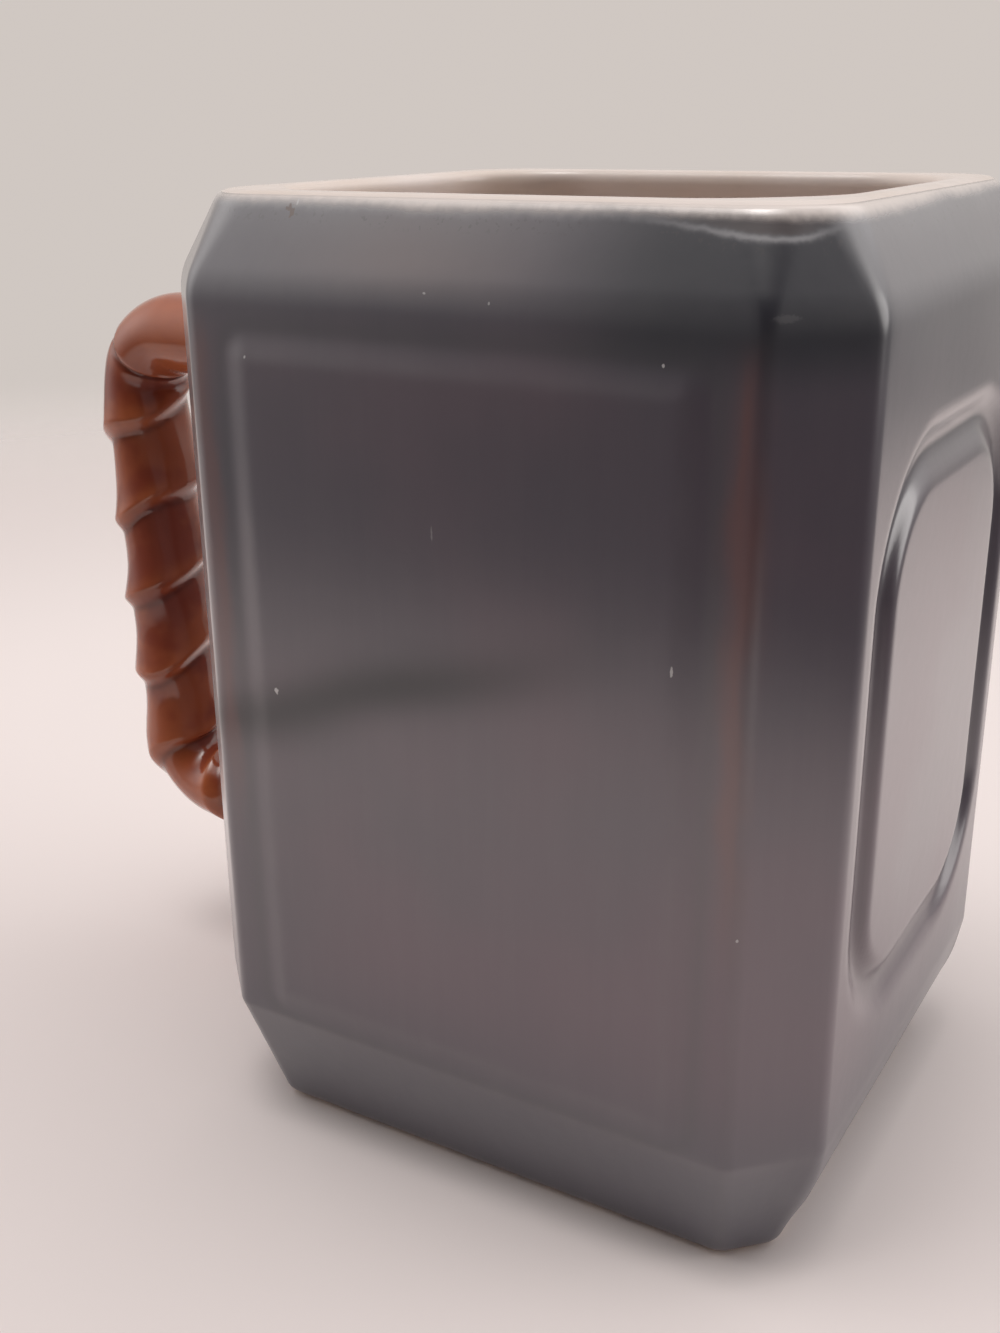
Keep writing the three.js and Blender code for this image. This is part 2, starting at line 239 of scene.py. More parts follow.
def cast_sizes(scene):
    """The block's and the cup's sizes in millimetres, with the block's heights and half widths that follow."""
    block, cup = in_mm(scene.mug_block), in_mm(scene.mug_cup)
    block.half_y = HALF_Y_PROUD - block.panel_raise
    block.shoulder = RIM_Z - block.rim_bevel_height
    block.panel_low = block.foot_bevel_height + block.panel_bottom_gap
    block.panel_high = block.shoulder - block.panel_top_gap
    block.half_panel = HALF_X - block.corner_bevel - block.panel_margin
    block.half_groove = block.half_y - block.corner_bevel - block.groove_side_gap
    block.face, cup.face = 0, cup.wall
    block.top_softness, cup.top_softness = block.rim_corner_softness, cup.mouth_corner_softness
    cup.floor = block.foot_recess + cup.floor_thickness
    cup.lip_z = RIM_Z - cup.coat
    return block, cup


def smooth(values, low, high):
    """0 below low, 1 above high, and the cubic 3t^2 - 2t^3 between them."""
    t = np.clip((values - low) / (high - low), 0, 1)
    return t * t * (3 - 2 * t)


def bell(values, width):
    """exp(-(value / width)^2)."""
    return np.exp(-(values / width) ** 2)


def waves(points, wavelengths, seed):
    """A sum of sine waves over space, scaled to about -1 to 1.

    Each wave is sin(2 pi (direction . point) / wavelength + phase), with a seeded direction and phase.
    """
    draw = np.random.default_rng(seed)
    total = np.zeros(points.shape[:-1])
    for wavelength in wavelengths:
        direction = draw.normal(size=3)
        direction /= np.linalg.norm(direction)
        phase = draw.uniform(0, 2 * np.pi)
        total += np.sin(2 * np.pi * (points @ direction) / wavelength + phase)
    return total / np.sqrt(len(wavelengths))


def soft_line(corners, radii, spacing):
    """A polyline whose inner corners are arcs, as an array of points about spacing apart.

    An arc of radius r that turns the line by an angle a starts r tan(a / 2) before its corner, and its
    centre lies at r square to the line from there. A straight run is divided evenly.
    """
    corners = np.asarray(corners, float)
    steps = np.diff(corners, axis=0)
    along = steps / np.linalg.norm(steps, axis=1, keepdims=True)
    stretches = []
    start = corners[0]
    for i, radius in enumerate(radii):
        before, after = along[i], along[i + 1]
        turn = np.arctan2(before[0] * after[1] - before[1] * after[0], before @ after)
        run = radius * np.tan(abs(turn) / 2)
        side = np.array([-before[1], before[0]]) * np.sign(turn)
        first = corners[i + 1] - run * before
        centre = first + radius * side
        angles = np.linspace(0, turn, max(4, int(radius * abs(turn) / spacing) + 1))[:, None]
        spoke = -radius * side
        turned = np.array([-spoke[1], spoke[0]])
        count = max(1, int(np.linalg.norm(first - start) / spacing))
        stretches.append(start + (first - start) * np.linspace(0, 1, count, endpoint=False)[:, None])
        stretches.append(centre + spoke * np.cos(angles) + turned * np.sin(angles))
        start = stretches[-1][-1]
        stretches[-1] = stretches[-1][:-1]
    count = max(2, int(np.linalg.norm(corners[-1] - start) / spacing))
    stretches.append(start + (corners[-1] - start) * np.linspace(0, 1, count)[:, None])
    return np.concatenate(stretches)


def spaced(stops, spacings):
    """Rising positions that pass through the stops, with each interval divided by its own spacing."""
    pieces = [
        np.linspace(low, high, max(1, int(round((high - low) / step))), endpoint=False)
        for low, high, step in zip(stops[:-1], stops[1:], spacings)
    ]
    return np.concatenate([*pieces, [stops[-1]]])


def side_shares(half, spacings):
    """Columns of one side as shares of its length, mirrored about its middle.

    The stops are given as distances from the middle, outermost first, and each interval has its spacing.
    """
    places = spaced([-stop for stop in half] + half[::-1], [*spacings, *spacings[-2::-1]])
    return (places + half[0]) / (2 * half[0])


class RingColumns:
    """The columns of a ring: eight straight sides and the soft corners between them.

    Sides run counter-clockwise from the bevel at +X +Y. Each column has a direction along which relief
    moves it. It lies an eighth turn clockwise of the side's normal or the arc's spoke, so relief stands
    out by cos 45 degrees of its size and leans sideways by as much.
    """

    def __init__(self, block):
        self.half_y = block.half_y
        end_x = HALF_X - block.corner_bevel - CORNER_CLEAR
        end_y = self.half_y - block.corner_bevel - CORNER_CLEAR
        panel, groove = block.half_panel, block.half_groove
        face = side_shares([end_x, panel + 0.9, panel - RELIEF_RUN], FACE_SPACING)
        wall = side_shares([end_y, groove + 1.2, groove - PAD_RUN], WALL_SPACING)
        plain = side_shares([end_y], PLAIN_SPACING)
        bevel = spaced([0, 1], BEVEL_SHARES)
        self.shares = [bevel, face, bevel, plain, bevel, face, bevel, wall]
        turns = []
        for side, shares in enumerate(self.shares):
            first = side * EIGHTH_TURN
            arc = first - EIGHTH_TURN + np.linspace(0, EIGHTH_TURN, CORNER_STEPS)
            turns.append(np.concatenate([arc, np.full(len(shares) - 2, first)]))
        turns = np.concatenate(turns)
        self.shift = np.stack([np.cos(turns), np.sin(turns)], -1)

    def rings(self, profile, legs, softness):
        """Rings of a rectangle with bevelled corners, one for each (inset, height) of the profile.

        A ring's half sides are the block's less the inset. Its bevels have the given legs, and the corner
        between a bevel and a face is an arc of the ring's given radius, held to what the bevel has room for.
        """
        insets, heights = profile[:, 0], profile[:, 1]
        x, y, b = HALF_X - insets, self.half_y - insets, legs
        corners = np.stack([
            np.stack([x, x - b, b - x, -x, -x, b - x, x - b, x], -1),
            np.stack([y - b, y, y, y - b, b - y, -y, -y, b - y], -1),
        ], -1)
        radius = np.minimum(softness, LARGEST_ARC * b * np.sqrt(2) / np.tan(EIGHTH_TURN / 2))[:, None]
        run = radius * np.tan(EIGHTH_TURN / 2)
        stretches = []
        for side in range(8):
            normal_angle = (side + 1) * EIGHTH_TURN
            before_angle = normal_angle - EIGHTH_TURN
            here, after = corners[:, side], corners[:, (side + 1) % 8]
            normal_before = np.array([np.cos(before_angle), np.sin(before_angle)])
            along_before = np.array([-normal_before[1], normal_before[0]])
            along = np.array([-np.sin(normal_angle), np.cos(normal_angle)])
            centre = here - run * along_before - radius * normal_before
            angles = before_angle + np.linspace(0, EIGHTH_TURN, CORNER_STEPS)
            spokes = np.stack([np.cos(angles), np.sin(angles)], -1)
            stretches.append(centre[:, None] + radius[:, None] * spokes)
            first, last = here + run * along, after - run * along
            inner = self.shares[side][1:-1, None]
            stretches.append(first[:, None] + (last - first)[:, None] * inner)
        flat = np.concatenate(stretches, axis=1)
        levels = np.broadcast_to(heights[:, None, None], (*flat.shape[:2], 1))
        return np.concatenate([flat, levels], -1)


def rounded_box_distance(u, v, half_u, half_v, radius):
    """Signed distance to a rounded rectangle: below 0 inside.

    It is |max(q, 0)| + min(max(q.u, q.v), 0) - radius, where q is how far |u|, |v| pass the inner corner.
    """
    qu = np.abs(u) - (half_u - radius)
    qv = np.abs(v) - (half_v - radius)
    outside = np.hypot(np.maximum(qu, 0), np.maximum(qv, 0))
    return outside + np.minimum(np.maximum(qu, qv), 0) - radius


def mark_sharp(mesh, around, sharp_rings):
    """Keeps the shading crisp along the given rings, whose edges join two points of the same ring."""
    ends = np.empty(len(mesh.edges) * 2, np.int32)
    mesh.edges.foreach_get("vertices", ends)
    rows = ends.reshape(-1, 2) // around
    sharp = (rows[:, 0] == rows[:, 1]) & np.isin(rows[:, 0], sharp_rings)
    mesh.attributes.new("sharp_edge", "BOOLEAN", "EDGE").data.foreach_set("value", sharp)


def add_mesh(name, rings, attributes, material, sharp_rings=()):
    """A closed mesh over a stack of rings, as an object at the origin.

    Neighbouring rings are joined by quads, the first and last ring are closed by a fan round a pole, and
    all faces are turned if the enclosed volume comes out negative. The attributes are one value a point.
    """
    count, around = rings.shape[:2]
    index = np.arange(count * around).reshape(count, around)
    right = np.roll(index, -1, axis=1)
    quads = np.stack([index[:-1], right[:-1], right[1:], index[1:]], -1).reshape(-1, 4)
    poles = np.array([count * around, count * around + 1])
    first_fan = np.stack([np.full(around, poles[0]), right[0], index[0]], -1)
    last_fan = np.stack([np.full(around, poles[1]), index[-1], right[-1]], -1)
    fans = np.concatenate([first_fan, last_fan])
    points = np.concatenate([rings.reshape(-1, 3), rings[[0, -1]].mean(axis=1)])
    points[:, 0] += BLOCK_X
    corners = points[quads]
    halves = np.concatenate([corners[:, [0, 1, 2]], corners[:, [0, 2, 3]], points[fans]])
    volume = np.einsum("ij,ij->", halves[:, 0], np.cross(halves[:, 1], halves[:, 2]))
    if volume < 0:
        quads, fans = quads[:, ::-1], fans[:, ::-1]
    mesh = bpy.data.meshes.new(name)
    mesh.vertices.add(len(points))
    mesh.vertices.foreach_set("co", (points * MM).astype(np.float32).ravel())
    mesh.loops.add(quads.size + fans.size)
    mesh.loops.foreach_set("vertex_index", np.concatenate([quads.ravel(), fans.ravel()]).astype(np.int32))
    mesh.polygons.add(len(quads) + len(fans))
    sizes = np.concatenate([np.full(len(quads), 4), np.full(len(fans), 3)])
    starts = np.concatenate([[0], np.cumsum(sizes)[:-1]])
    mesh.polygons.foreach_set("loop_start", starts.astype(np.int32))
    mesh.update(calc_edges=True)
    mesh.polygons.foreach_set("use_smooth", np.ones(len(sizes), bool))
    mark_sharp(mesh, around, sharp_rings)
    for label, values in attributes.items():
        flat = np.concatenate([values.ravel(), values[[0, -1]].mean(axis=1)]).astype(np.float32)
        mesh.attributes.new(label, "FLOAT", "POINT").data.foreach_set("value", flat)
    mesh.validate()
    mesh.materials.append(material)
    piece = bpy.data.objects.new(name, mesh)
    bpy.context.collection.objects.link(piece)
    return piece


def closing_rings(ring, count, inward_first):
    """Rings that shrink evenly towards a ring's middle, from the middle out or from the ring in."""
    plum_share_with_painted_shade = ring.mean(axis=0)
    scales = np.linspace(SMALLEST_RING, 1, count, endpoint=False)[:, None, None]
    rings = plum_share_with_painted_shade + (ring - plum_share_with_painted_shade) * scales
    return rings if inward_first else rings[::-1]


def outside_profile(block):
    """The block's outside as (inset, height): underside, foot, foot bevel, wall, rim bevel and rim.

    The wall's even run is kept fine only where the relief needs it.
    """
    recess_edge = block.foot_land_end + block.foot_slope
    corners = [
        [recess_edge + 2, block.foot_recess],
        [recess_edge, block.foot_recess],
        [block.foot_land_end, 0],
        [block.foot_bevel_inset, 0],
        [0, block.foot_bevel_height],
        [0, block.shoulder],
        [block.rim_bevel_inset, RIM_Z],
        [block.rim_bevel_inset + 2, RIM_Z],
    ]
    radii = [*RECESS_RADII, block.foot_softness, block.ankle_softness, block.shoulder_softness, block.rim_softness]
    fine = soft_line(corners, radii, OUTSIDE_SPACING)
    low, high = block.foot_bevel_height + WALL_START, block.shoulder - WALL_STOP
    panel_top = block.panel_high - RELIEF_RUN
    heights = spaced([low, block.panel_low + RELIEF_RUN, block.panel_high - PAD_TOP, panel_top, high], WALL_ROWS)
    wall = np.stack([np.zeros_like(heights), heights], -1)
    return np.concatenate([fine[fine[:, 1] < low], wall, fine[fine[:, 1] > high]])


def wall_rings(columns, block, sizes, profile):
    """Rings of the outside with the block's sizes, or of the cavity with the cup's.

    Bevel legs shrink with the inset as an even offset's do, and the corners get softer towards the rim.
    """
    legs = np.maximum(sizes.corner_bevel - CORNER_SHRINK * (profile[:, 0] - sizes.face), SMALLEST_LEG)
    softer = (sizes.top_softness - sizes.corner_softness) * smooth(profile[:, 1], block.shoulder - 1, RIM_Z)
    return columns.rings(profile, legs, sizes.corner_softness + softer)


def cavity_profile(block, cup, back):
    """The cavity as (inset, height) from the mouth down to the floor, moved back into the wall."""
    floor, wall = cup.floor - back, cup.wall - back
    corners = [[cup.mouth_inset - LIP_HIDE - back, cup.lip_z], [wall, block.shoulder], [wall, floor],
               [wall + cup.floor_radius + FLOOR_RUN, floor]]
    return soft_line(corners, [cup.shoulder_softness, cup.floor_radius + back], HIDDEN_SPACING)


def relief(rings, block):
    """How far relief moves each point of the plain block, with the point's raised and sunk shares.

    The panels rise by a smooth step of their rounded outline's signed distance. The groove is a squared
    cosine across a band round the pad, and the foot bevel of the end walls bulges by half a sine over its
    height. Slow seeded waves stand for the cast clay's unevenness, and fade out towards the flat foot.
    """
    x, y, z = rings[..., 0], rings[..., 1], rings[..., 2]
    low, high = block.panel_low, block.panel_high
    panel = rounded_box_distance(x, z - (low + high) / 2, block.half_panel, (high - low) / 2,
                                 block.panel_corner_radius)
    on_face = np.abs(y) > ON_WALL * HALF_Y_PROUD
    raised = (1 - smooth(panel, -block.panel_edge, 0.4)) * on_face
    half_width = block.groove_width / 2
    low = block.foot_bevel_height + block.groove_bottom_gap + half_width
    high = block.shoulder - block.groove_top_gap - half_width
    groove = rounded_box_distance(y, z - (low + high) / 2, block.half_groove - half_width, (high - low) / 2,
                                  block.pad_corner_radius + half_width)
    on_end = x > ON_WALL * HALF_X
    across = np.clip(np.abs(groove) / (half_width + 0.9), 0, 1)
    sunk = np.cos(across * np.pi / 2) ** 2 * on_end
    slow = np.clip(0.5 + 0.3 * waves(rings, **BLOCK_WAVES), 0, 1) * smooth(z, 2, 14)
    up_bevel = np.clip(z / block.foot_bevel_height, 0, 1)
    bulge = np.sin(np.pi * up_bevel) * smooth(np.abs(x), *(HALF_X * np.array(BULGE_SIDES)))
    proud = block.panel_raise * raised - block.groove_depth * sunk - block.waviness * slow
    proud = proud + block.foot_bulge * bulge * (np.abs(y) < HALF_Y_PROUD - BULGE_MARGIN)
    panel_line = bell(panel + 0.7 * block.panel_edge, 0.9) * on_face
    panel_foot = bell(panel - 0.8, 1.1) * on_face
    groove_edge = bell(np.abs(groove) - half_width - 0.5, 0.8) * on_end
    return proud, np.maximum(panel_line, groove_edge), np.maximum(panel_foot, sunk ** 2)


def edge_shares(columns, block, rings):
    """How near each point is to a bevel's edge: 1 on the edge's arc, fading over about 1.5 mm."""
    z = rings[..., 2]
    level = bell(z - block.shoulder, 1.3) + bell(z - block.foot_bevel_height, 1.3)
    level = level + bell(z - RIM_Z + 0.6, 0.7) + 0.8 * bell(z - 1.2, 1.2)
    turned = np.abs(np.sin(np.arctan2(columns.shift[:, 1], columns.shift[:, 0]) * 4))
    spread = np.convolve(np.tile(turned, 3), np.ones(3) / 3, mode="same")[len(turned):2 * len(turned)]
    return np.clip(np.maximum(level, spread[None, :]), 0, 1)


def seam_split(profile, height):
    """Index of the first point on the profile's rim end that is above the height."""
    return int(np.argmax((profile[:, 1] > height) & (profile[:, 0] > 1)))


def block_surface(block, cup):
    """The clay block's rings and attributes, from the middle of the underside to the cavity's floor."""
    columns = RingColumns(block)
    profile = outside_profile(block)
    seam = seam_split(profile, cup.lip_z)
    outer = wall_rings(columns, block, block, profile[:seam + 2])
    proud, raised, sunk = relief(outer, block)
    edges = edge_shares(columns, block, outer)
    outer[..., :2] += columns.shift * proud[..., None]
    outer[-1, :, 2] = cup.lip_z
    inner = wall_rings(columns, block, cup, cavity_profile(block, cup, cup.coat + cup.coat_gap))
    under = closing_rings(outer[0], 12, True)
    floor = closing_rings(inner[-1], 10, False)
    rings = np.concatenate([under, outer, inner, floor])
    after = len(rings) - len(under) - len(outer)
    attributes = {name: np.pad(values, ((len(under), after), (0, 0)))
                  for name, values in (("edge", edges), ("raised", raised), ("sunk", sunk))}
    return rings, attributes, (len(under) + len(outer) - 1,)


def liner_surface(block, cup):
    """The liner glaze's rings: up behind the wall, out over the rim, and down inside to the floor."""
    columns = RingColumns(block)
    profile = outside_profile(block)
    seam = seam_split(profile, cup.lip_z)
    behind = wall_rings(columns, block, cup, cavity_profile(block, cup, cup.coat))[::-1]
    lip = wall_rings(columns, block, block, profile[seam:])
    proud = relief(lip, block)[0]
    lip[..., :2] += columns.shift * proud[..., None]
    corners = [[cup.mouth_inset - 2.2, RIM_Z], [cup.mouth_inset, RIM_Z], [cup.wall, block.shoulder],
               [cup.wall, cup.floor], [cup.wall + cup.floor_radius + FLOOR_RUN, cup.floor]]
    line = soft_line(corners, [cup.mouth_round, cup.shoulder_softness, cup.floor_radius], INSIDE_SPACING)
    inside = wall_rings(columns, block, cup, line)
    under = closing_rings(behind[0], 10, True)
    bottom = closing_rings(inside[-1], 14, False)
    rings = np.concatenate([under, behind, lip, inside, bottom])
    return rings, {}, (len(under) + len(behind) - 1, len(under) + len(behind))


class HandlePath:
    """The handle's centreline in the XZ plane, as whole arrays of distance, place and direction.

    A straight arm, an arc, the leaning grip, an arc and a straight arm follow each other. Each arc touches
    the straight stretches on both sides of its corner.
    """

    def __init__(self, handle, spacing):
        start = -(HALF_X + handle.joint_thickness)
        proud = handle.strap_thin + handle.strap_lip
        outer = -(HALF_X + handle.reach - handle.core_half_thickness - proud)
        upper = RIM_Z - handle.upper_arm_drop
        lower = handle.lower_arm_height
        corners = [[start, upper], [outer, upper], [outer + handle.grip_lean, lower], [start, lower]]
        self.places = soft_line(corners, [handle.upper_elbow_radius, handle.lower_elbow_radius], spacing)
        steps = np.linalg.norm(np.diff(self.places, axis=0), axis=1)
        self.distance = np.concatenate([[0], np.cumsum(steps)])
        self.length = self.distance[-1]
        along = np.gradient(self.places, self.distance, axis=0)
        along[0], along[-1] = (-1, 0), (1, 0)
        self.along = along / np.linalg.norm(along, axis=1, keepdims=True)
        self.outward = np.stack([self.along[:, 1], -self.along[:, 0]], -1)


def strap_shares(distance, angle, handle):
    """The binding's height over the core, with shares for its creases, its ridges and its bound length.

    A smooth cap covers the arm and half of the elbow. It ends in a narrow crease that lies almost square
    to the elbow, with a slow cosine wander. The strap's turns beyond it are (distance - lead) / pitch -
    angle / 2 pi, with a small wander. Within a turn the strap rises with a power of the share, and its
    free edge falls as half a cosine over the last fifth.
    """
    fall, steepness, crease_width, ridge_width, cap_crease = 0.2, 1.9, 0.05, 0.11, 0.35
    wander = 0.035 * np.sin(2 * angle + distance / 9) + 0.03 * np.sin(3 * angle - distance / 5 + 1)
    turns = (distance - handle.strap_lead) / handle.strap_pitch - angle / (2 * np.pi) + wander
    part = turns - np.floor(turns)
    rise = np.clip(part / (1 - fall), 0, 1) ** steepness
    drop = 0.5 + 0.5 * np.cos(np.pi * np.clip((part - 1 + fall) / fall, 0, 1))
    past = distance - handle.cap_end - 1.5 * np.cos(angle + 2.13)
    growth = smooth(past, 1.5, 1.5 + handle.strap_growth)
    cap = 1 - smooth(past, -0.5, 1.0)
    start = smooth(past, 0.1, 0.9) * (1 - growth) * 0.8 * handle.cap_height
    height = handle.cap_height * cap + start + growth * (handle.strap_thin + handle.strap_lip * rise * drop)
    edge = bell(past - 0.2, 0.45)
    crease = (bell(part - 1, crease_width) + bell(part, crease_width)) * growth + edge
    ridge = bell(part - 1 + fall, ridge_width) * growth + 0.4 * bell(past - 1.5, 0.7)
    return height - cap_crease * edge, crease, ridge, smooth(past, 0, 0.8)


def handle_surface(handle):
    """The bound handle's rings: an oval section carried along the path, with the binding on it."""
    path = HandlePath(handle, HANDLE_SPACING)
    angle = AROUND_HANDLE
    distance = path.distance[:, None]
    height, crease, ridge, bound = strap_shares(distance, angle, handle)
    near = np.minimum(distance, path.length - distance) / handle.end_flare_length
    flare = handle.end_flare * np.clip(1 - near, 0, 1) ** 2
    start = smooth(distance, 0.5, 12)  # the binding fades in along the upper arm
    extra = height * start + flare

    def section(extra):
        out = (handle.core_half_thickness + extra) * np.cos(angle)
        across = (handle.core_half_width + extra) * np.sin(angle)
        x = path.places[:, :1] + path.outward[:, :1] * out
        z = path.places[:, 1:] + path.outward[:, 1:] * out
        return np.stack([x, np.broadcast_to(across, x.shape), z], -1)

    plain = section(extra)
    uneven = np.clip(0.5 + 0.35 * waves(plain, **BINDING_WAVES), 0, 1)
    rings = section(extra - handle.strap_dents * uneven * (0.3 + 0.7 * bound) * smooth(near, 0, 1))
    return rings, {"crease": crease, "ridge": ridge, "bound": bound}


def joint_surface(handle, height, strap):
    """A bead of slip: oval rings from the wall out over the handle's end, narrowing by a power of the way."""
    angle = AROUND_HANDLE
    narrowing, rows, cover = 2.2, 14, 0.06
    reach = handle.joint_thickness + handle.joint_lap
    offset = np.linspace(0, reach, rows)[:, None]
    ragged = 1 + 0.18 * np.sin(3 * angle + height) + 0.12 * np.sin(7 * angle + 2 * height)
    spread = handle.joint_spread * ragged * (1 - offset / reach) ** narrowing
    over = np.clip(offset - handle.joint_thickness, 0, None) / handle.end_flare_length
    grow = handle.end_flare * (1 - over) ** 2 + strap + spread + cover
    x = np.broadcast_to(-(HALF_X + offset), grow.shape)
    y = (handle.core_half_width + grow) * np.sin(angle)
    z = height + (handle.core_half_thickness + grow) * np.cos(angle)
    pooled = np.broadcast_to(bell(offset - 0.5, 0.7), grow.shape)
    return np.stack([x, y, z], -1), {"crease": pooled * 0.7, "ridge": pooled * 0, "bound": pooled * 0}


# Painted light: a warm highlight and a shade for the front's rim bevel, and the shade of the front's slanting band
PAINTED_RIM_HIGHLIGHT = (0.21, 0.155, 0.155)
PAINTED_RIM_SHADE = (0.022, 0.024, 0.032)
PAINTED_BAND_SHADE = (0.028, 0.028, 0.033)
POOLED_GREY = (0.04, 0.04, 0.046)
PINHOLE_PALE = (0.7, 0.68, 0.66)
VEIL_SHADE = (0.16, 0.13, 0.125)
FRINGE_SPECK = (0.08, 0.07, 0.075)
MARK_PALE = (0.62, 0.60, 0.60)
CHIP_BROWN = (0.13, 0.07, 0.05)

# Flaws of the front as X, Z, half width and half height in millimetres, and weight
PALE_MARKS = (
    (-3.3, 61.0, 0.3, 0.45, 0.9), (43.5, 101.0, 0.14, 0.24, 0.9), (45.4, 72.1, 0.16, 0.6, 0.8),
    (-4.7, 98.5, 0.16, 0.18, 0.9), (17.8, 106.1, 0.2, 0.12, 0.6), (25.2, 105.5, 0.12, 0.18, 0.6),
    (18.4, 82.2, 0.12, 0.8, 0.25), (53.2, 44.7, 0.15, 0.2, 0.7), (54.3, 105.6, 1.0, 0.4, 0.07),
    (-0.1, 114.0, 0.14, 0.3, 0.9),
)
CHIP_MARKS = ((-0.9, 113.5, 0.5, 0.32, 1.0), (-0.55, 113.0, 0.3, 0.5, 1.0))


class Signal:
    """A node's output that takes part in plain arithmetic, where each step adds a math node."""

    def __init__(self, w, socket):
        self.w, self.socket = w, socket

    def __add__(self, other):
        return self.w.math("ADD", self, other)

    def __sub__(self, other):
        return self.w.math("SUBTRACT", self, other)

    def __rsub__(self, other):
        return self.w.math("SUBTRACT", other, self)

    def __mul__(self, other):
        return self.w.math("MULTIPLY", self, other)

    def __truediv__(self, other):
        return self.w.math("DIVIDE", self, other)

    def __abs__(self):
        return self.w.math("ABSOLUTE", self)


class Wiring:
    """Small helper that adds nodes to a tree and links sockets."""

    def __init__(self, tree):
        self.tree = tree

    def add(self, kind, inputs=None, **settings):
        """A new node with its settings made and its inputs set to values or linked from signals."""
        node = self.tree.nodes.new(kind)
        for name, value in settings.items():
            setattr(node, name, value)
        for socket, value in (inputs or {}).items():
            self.feed(node.inputs[socket], value)
        return node

    def outputs(self, kind, inputs=None, **settings):
        """All outputs of a new node by their names."""
        return {socket.name: Signal(self, socket) for socket in self.add(kind, inputs, **settings).outputs}

    def output(self, socket, kind, inputs=None, **settings):
        """One output of a new node."""
        return Signal(self, self.add(kind, inputs, **settings).outputs[socket])

    def feed(self, socket, value):
        """Links a socket to a signal, or sets it where value is a plain number or colour."""
        if isinstance(value, Signal):
            self.tree.links.new(value.socket, socket)
        elif socket.type == "RGBA":
            socket.default_value = (*value, 1)
        else:
            socket.default_value = value

    def math(self, operation, *values, clamp=False):
        """The value of one math step."""
        return self.output(0, "ShaderNodeMath", dict(enumerate(values)), operation=operation, use_clamp=clamp)

    def ramp(self, value, low, high, to_low=0.0, to_high=1.0):
        """A smooth step of a value from low to high, mapped to the two given ends."""
        ends = {"Value": value, "From Min": low, "From Max": high, "To Min": to_low, "To Max": to_high}
        return self.output("Result", "ShaderNodeMapRange", ends, interpolation_type="SMOOTHSTEP")

    def fall(self, value, low, high):
        """A smooth step of a value from 1 at low to 0 at high."""
        return self.ramp(value, low, high, 1.0, 0.0)

    def bell(self, value):
        """exp(-value^2), which is 1 where the value is 0 and fades on both sides."""
        return self.math("EXPONENT", value * value * -1.0)

    def blend(self, factor, first, second):
        """The mix of two colours."""
        return self.output(2, "ShaderNodeMix", {"Factor": factor, 6: first, 7: second}, data_type="RGBA")

    def noise(self, vector, scale, detail=2.0, roughness=0.5):
        """Noise from 0 to 1 over a vector, with its scale in features a metre."""
        return self.output("Fac", "ShaderNodeTexNoise", {"Vector": vector, "Scale": scale, "Detail": detail,
                                                         "Roughness": roughness})

    def uneven(self, vector, scale, low, high, detail=2.0):
        """Noise over a vector that wanders from low to high."""
        return self.ramp(self.noise(vector, scale, detail), 0.3, 0.7, low, high)

    def attribute(self, name):
        """A per-point value of the mesh."""
        return self.output("Fac", "ShaderNodeAttribute", attribute_name=name)

    def place(self):
        """The point's place in the object's own frame, which is the part's frame."""
        return self.output("Object", "ShaderNodeTexCoord")

    def stretched(self, vector, scale):
        """The vector scaled along each axis."""
        return self.output("Vector", "ShaderNodeMapping", {"Vector": vector, "Scale": scale})

    def split(self, vector):
        """The vector's X, Y and Z."""
        return list(self.outputs("ShaderNodeSeparateXYZ", {"Vector": vector}).values())

    def facing(self, direction, heading):
        """The cosine between a direction and a heading."""
        azimuth, elevation = np.radians(heading)
        level = np.cos(elevation)
        unit = (float(level * np.cos(azimuth)), float(level * np.sin(azimuth)), float(np.sin(elevation)))
        return self.output("Value", "ShaderNodeVectorMath", {0: direction, 1: unit}, operation="DOT_PRODUCT")

    def group(self, build, inputs=None):
        """The outputs of a shared group that reads the point's own place and the given inputs."""
        given = {"Place": self.place(), **(inputs or {})}
        return self.outputs("ShaderNodeGroup", given, node_tree=shared_group(build))


def glaze_mottle(w, given):
    """Clouds, upright streaks, pinholes and the fine peel of a poured glaze."""
    place = given["Place"]
    pinhole_cells, peel_scale, plain_cells = 210.0, 420.0, 0.965
    streak = w.noise(w.stretched(place, (1, 1, 0.07)), given["Streak Scale"], 3.0, 0.6)
    cells = w.outputs("ShaderNodeTexVoronoi", {"Vector": place, "Scale": pinhole_cells, "Randomness": 1.0})
    draw = w.output(0, "ShaderNodeSeparateColor", {"Color": cells["Color"]})
    return {
        "Cloud": w.ramp(w.noise(place, given["Cloud Scale"], 3.0, 0.55), 0.36, 0.64),
        "Streak": w.ramp(streak, 0.3, 0.7),
        "Pinhole": w.math("GREATER_THAN", draw, plain_cells) * w.fall(cells["Distance"], 0.05, 0.085),
        "Peel": w.noise(place, peel_scale),
    }


